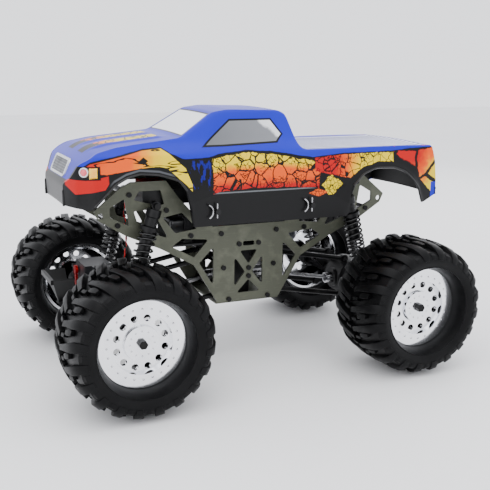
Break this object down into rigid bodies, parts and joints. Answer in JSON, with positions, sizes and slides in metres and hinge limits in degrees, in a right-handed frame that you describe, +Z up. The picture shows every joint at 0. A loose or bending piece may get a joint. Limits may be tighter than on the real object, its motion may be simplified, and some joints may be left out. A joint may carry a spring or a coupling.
{
  "type": "radio-controlled monster truck",
  "caption": "Electric monster truck with plate chassis, solid axles on parallel links, coil-over shocks, chromed wheels and a painted pickup shell",
  "frame": {"origin": "on the ground, at the middle of the wheelbase and of the track", "axes": "+X towards the grille, +Y to the truck's left, +Z up"},
  "size_m": [0.47, 0.35, 0.2895],
  "materials": {
    "anodised_plate": "dark olive grey anodised, satin",
    "steel": "bright steel",
    "black_steel": "black oxide",
    "black_nylon": "moulded nylon, fine grain",
    "motor_steel": "plated can",
    "battery_wrap": "shrink film",
    "strap_webbing": "woven strap",
    "red_aluminium": "red anodised",
    "painted_shell": "painted from inside, glossy",
    "lead_cover": "red and black twisted lead",
    "aluminium": "satin",
    "servo_case": "grey case",
    "chrome_rim": "chromed plastic",
    "tyre_rubber": "soft black rubber",
    "shock_black": "black",
    "spring_black": "black powder coat"
  },
  "bodies": {
    "chassis": {"chassis_plate_left": "anodised_plate", "chassis_plate_right": "anodised_plate", "skid_plate": "anodised_plate", "cross_posts": "steel", "plate_screws": "black_steel", "gearbox_front_case": "black_nylon", "gearbox_rear_case": "black_nylon", "motor_can": "motor_steel", "battery_tray": "black_nylon", "battery_pack": "battery_wrap", "battery_straps": "strap_webbing", "speed_controller": "black_nylon", "heat_sink": "red_aluminium", "receiver_box": "black_nylon", "body_mounts": "black_nylon", "body_clips": "steel", "body_shell": "painted_shell", "servo_wire": "lead_cover"},
    "motor_shaft": {"motor_pinion": "steel"},
    "layshaft": {"spur_gear": "black_nylon", "layshaft": "steel"},
    "output_shaft": {"output_gear": "steel", "output_shaft": "steel"},
    "front_lower_arms": {"front_lower_links": "aluminium"},
    "front_upper_arms": {"front_upper_links": "aluminium"},
    "rear_lower_arms": {"rear_lower_links": "aluminium"},
    "rear_upper_arms": {"rear_upper_links": "aluminium"},
    "front_shaft": {"front_driveshaft": "steel"},
    "rear_shaft": {"rear_driveshaft": "steel"},
    "front_axle": {"front_axle_housing": "black_nylon", "front_axle_cover": "black_nylon", "axle_guard": "black_nylon", "steering_servo": "servo_case"},
    "front_pinion": {"front_pinion_shaft": "steel"},
    "front_spool": {"front_ring_gear": "steel", "front_axle_shafts": "steel"},
    "left_knuckle": {"knuckle_left": "black_nylon"},
    "right_knuckle": {"knuckle_right": "black_nylon"},
    "front_left_wheel": {"front_tyre_left": "tyre_rubber", "front_rim_left": "chrome_rim", "stub_axle_left": "steel"},
    "front_right_wheel": {"front_tyre_right": "tyre_rubber", "front_rim_right": "chrome_rim", "stub_axle_right": "steel"},
    "steering_rod": {"tie_rod": "aluminium"},
    "horn": {"servo_horn": "red_aluminium"},
    "steering_link": {"drag_link": "aluminium"},
    "rear_axle": {"rear_axle_housing": "black_nylon", "rear_axle_cover": "black_nylon"},
    "rear_pinion": {"rear_pinion_shaft": "steel"},
    "rear_wheels": {"rear_tyres": "tyre_rubber", "rear_rims": "chrome_rim", "rear_axle_shaft": "steel", "rear_ring_gear": "steel"},
    "front_shocks": {"front_shock_bodies": "shock_black", "front_springs": "spring_black"},
    "front_rods": {"front_shock_rods": "steel"},
    "rear_shocks": {"rear_shock_bodies": "shock_black", "rear_springs": "spring_black"},
    "rear_rods": {"rear_shock_rods": "steel"}
  },
  "joints": [
    {"name": "front_suspension", "type": "hinge", "parent": "chassis", "child": "front_lower_arms", "pos_m": [0.028, 0, 0.082], "axis": [0, -1, 0], "range_deg": [0, 12], "stiffness_Nm_per_rad": 8, "springref_deg": -20.05, "deforming": ["front_springs", "servo_wire"]},
    {"name": "front_upper_arm_pivot", "type": "hinge", "parent": "chassis", "child": "front_upper_arms", "pos_m": [0.036, 0, 0.122], "axis": [0, -1, 0], "range_deg": [0, 12]},
    {"name": "front_axle_pivot", "type": "hinge", "parent": "front_lower_arms", "child": "front_axle", "pos_m": [0.132, 0, 0.063], "axis": [0, -1, 0], "range_deg": [-12, 0]},
    {"name": "front_driveshaft_spin", "type": "hinge", "parent": "front_lower_arms", "child": "front_shaft", "pos_m": [0.028, 0, 0.094], "axis": [0.9837, 0, -0.1797], "continuous": true},
    {"name": "front_pinion_spin", "type": "hinge", "parent": "front_axle", "child": "front_pinion", "pos_m": [0.14, 0, 0.075], "axis": [1, 0, 0], "continuous": true},
    {"name": "front_shock_pivot", "type": "hinge", "parent": "chassis", "child": "front_shocks", "pos_m": [0.114, 0, 0.191], "axis": [0, -1, 0], "range_deg": [0, 5.06]},
    {"name": "front_shock_rod_pivot", "type": "hinge", "parent": "front_axle", "child": "front_rods", "pos_m": [0.145, 0, 0.086], "axis": [0, -1, 0], "range_deg": [0, 5.06]},
    {"name": "rear_suspension", "type": "hinge", "parent": "chassis", "child": "rear_lower_arms", "pos_m": [-0.028, 0, 0.082], "axis": [0, 1, 0], "range_deg": [0, 12], "stiffness_Nm_per_rad": 8, "springref_deg": -20.05, "deforming": ["rear_springs"]},
    {"name": "rear_upper_arm_pivot", "type": "hinge", "parent": "chassis", "child": "rear_upper_arms", "pos_m": [-0.036, 0, 0.122], "axis": [0, 1, 0], "range_deg": [0, 12]},
    {"name": "rear_axle_pivot", "type": "hinge", "parent": "rear_lower_arms", "child": "rear_axle", "pos_m": [-0.132, 0, 0.063], "axis": [0, 1, 0], "range_deg": [-12, 0]},
    {"name": "rear_driveshaft_spin", "type": "hinge", "parent": "rear_lower_arms", "child": "rear_shaft", "pos_m": [-0.028, 0, 0.094], "axis": [0.9837, 0, 0.1797], "continuous": true},
    {"name": "rear_pinion_spin", "type": "hinge", "parent": "rear_axle", "child": "rear_pinion", "pos_m": [-0.14, 0, 0.075], "axis": [1, 0, 0], "continuous": true},
    {"name": "rear_shock_pivot", "type": "hinge", "parent": "chassis", "child": "rear_shocks", "pos_m": [-0.119, 0, 0.191], "axis": [0, 1, 0], "range_deg": [0, 4.56]},
    {"name": "rear_shock_rod_pivot", "type": "hinge", "parent": "rear_axle", "child": "rear_rods", "pos_m": [-0.145, 0, 0.086], "axis": [0, 1, 0], "range_deg": [0, 4.56]},
    {"name": "wheel_spin", "type": "hinge", "parent": "rear_axle", "child": "rear_wheels", "pos_m": [-0.16, 0, 0.075], "axis": [0, 1, 0], "continuous": true},
    {"name": "front_left_wheel_spin", "type": "hinge", "parent": "left_knuckle", "child": "front_left_wheel", "pos_m": [0.16, 0.128, 0.075], "axis": [0, 1, 0], "continuous": true},
    {"name": "front_right_wheel_spin", "type": "hinge", "parent": "right_knuckle", "child": "front_right_wheel", "pos_m": [0.16, -0.128, 0.075], "axis": [0, 1, 0], "continuous": true},
    {"name": "front_spool_spin", "type": "hinge", "parent": "front_axle", "child": "front_spool", "pos_m": [0.16, 0, 0.075], "axis": [0, 1, 0], "continuous": true},
    {"name": "output_shaft_spin", "type": "hinge", "parent": "chassis", "child": "output_shaft", "pos_m": [0, 0, 0.094], "axis": [1, 0, 0], "continuous": true},
    {"name": "layshaft_spin", "type": "hinge", "parent": "chassis", "child": "layshaft", "pos_m": [0, 0, 0.119], "axis": [1, 0, 0], "continuous": true},
    {"name": "motor_spin", "type": "hinge", "parent": "chassis", "child": "motor_shaft", "pos_m": [-0.02, 0, 0.143], "axis": [1, 0, 0], "continuous": true},
    {"name": "steering", "type": "hinge", "parent": "front_axle", "child": "left_knuckle", "pos_m": [0.16, 0.1, 0.075], "axis": [0, 0, 1], "range_deg": [-20, 20]},
    {"name": "right_knuckle_pivot", "type": "hinge", "parent": "front_axle", "child": "right_knuckle", "pos_m": [0.16, -0.1, 0.075], "axis": [0, 0, 1], "range_deg": [-20, 20]},
    {"name": "horn_pivot", "type": "hinge", "parent": "front_axle", "child": "horn", "pos_m": [0.1815, -0.018, 0.1105], "axis": [1, 0, 0], "range_deg": [-20, 20]},
    {"name": "tie_rod_pivot", "type": "hinge", "parent": "left_knuckle", "child": "steering_rod", "pos_m": [0.186, 0.1, 0.0695], "axis": [0, 0, 1], "range_deg": [-20, 20]},
    {"name": "drag_link_pivot", "type": "hinge", "parent": "left_knuckle", "child": "steering_link", "pos_m": [0.186, 0.1, 0.0805], "axis": [0, 0, 1], "range_deg": [-20, 20]}
  ],
  "couplings": [
    {"joint": "front_upper_arm_pivot", "follows": "front_suspension", "ratio": 1},
    {"joint": "front_axle_pivot", "follows": "front_suspension", "ratio": -1},
    {"joint": "front_shock_pivot", "follows": "front_suspension", "ratio": 0.4205},
    {"joint": "front_shock_rod_pivot", "follows": "front_suspension", "ratio": 0.4205},
    {"joint": "rear_upper_arm_pivot", "follows": "rear_suspension", "ratio": 1},
    {"joint": "rear_axle_pivot", "follows": "rear_suspension", "ratio": -1},
    {"joint": "rear_shock_pivot", "follows": "rear_suspension", "ratio": 0.379},
    {"joint": "rear_shock_rod_pivot", "follows": "rear_suspension", "ratio": 0.379},
    {"joint": "front_left_wheel_spin", "follows": "wheel_spin", "ratio": 1},
    {"joint": "front_right_wheel_spin", "follows": "wheel_spin", "ratio": 1},
    {"joint": "front_spool_spin", "follows": "wheel_spin", "ratio": 1},
    {"joint": "rear_pinion_spin", "follows": "wheel_spin", "ratio": 3},
    {"joint": "front_pinion_spin", "follows": "wheel_spin", "ratio": 3},
    {"joint": "front_driveshaft_spin", "follows": "wheel_spin", "ratio": 3},
    {"joint": "rear_driveshaft_spin", "follows": "wheel_spin", "ratio": 3},
    {"joint": "output_shaft_spin", "follows": "wheel_spin", "ratio": 3},
    {"joint": "layshaft_spin", "follows": "wheel_spin", "ratio": -4.5},
    {"joint": "motor_spin", "follows": "wheel_spin", "ratio": 13.5},
    {"joint": "right_knuckle_pivot", "follows": "steering", "ratio": 1},
    {"joint": "horn_pivot", "follows": "steering", "ratio": 1},
    {"joint": "tie_rod_pivot", "follows": "steering", "ratio": -1},
    {"joint": "drag_link_pivot", "follows": "steering", "ratio": -1}
  ]
}
